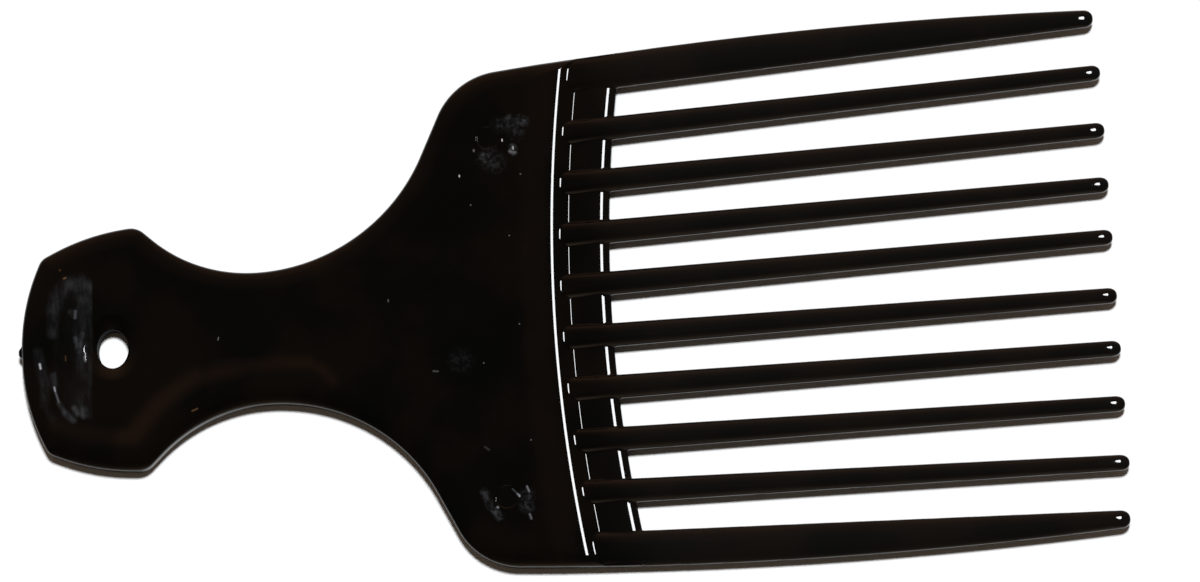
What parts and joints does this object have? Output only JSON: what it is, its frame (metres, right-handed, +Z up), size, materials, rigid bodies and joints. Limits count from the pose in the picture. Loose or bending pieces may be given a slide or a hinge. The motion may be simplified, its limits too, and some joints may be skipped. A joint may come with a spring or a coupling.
{
  "type": "afro pick",
  "caption": "Flat moulded hair pick with a paddle handle and hang hole, a waisted neck, a wide shoulder and a row of long, tapering, round-ended tines.",
  "frame": {"origin": "middle of the bounding box, on its underside", "axes": "+X from the handle towards the tips of the tines, +Y across the tines to the left of someone looking along +X, +Z up out of the face with the ejector pin marks"},
  "size_m": [0.1665, 0.0822, 0.0034],
  "materials": {
    "body": "glossy black moulded plastic"
  },
  "bodies": {
    "root": {"handle_paddle": "body", "neck": "body", "shoulder_plate": "body", "tine_web": "body", "outer_tine_left": "body", "inner_tine_1": "body", "inner_tine_2": "body", "inner_tine_3": "body", "inner_tine_4": "body", "inner_tine_5": "body", "inner_tine_6": "body", "inner_tine_7": "body", "inner_tine_8": "body", "outer_tine_right": "body"}
  },
  "joints": []
}
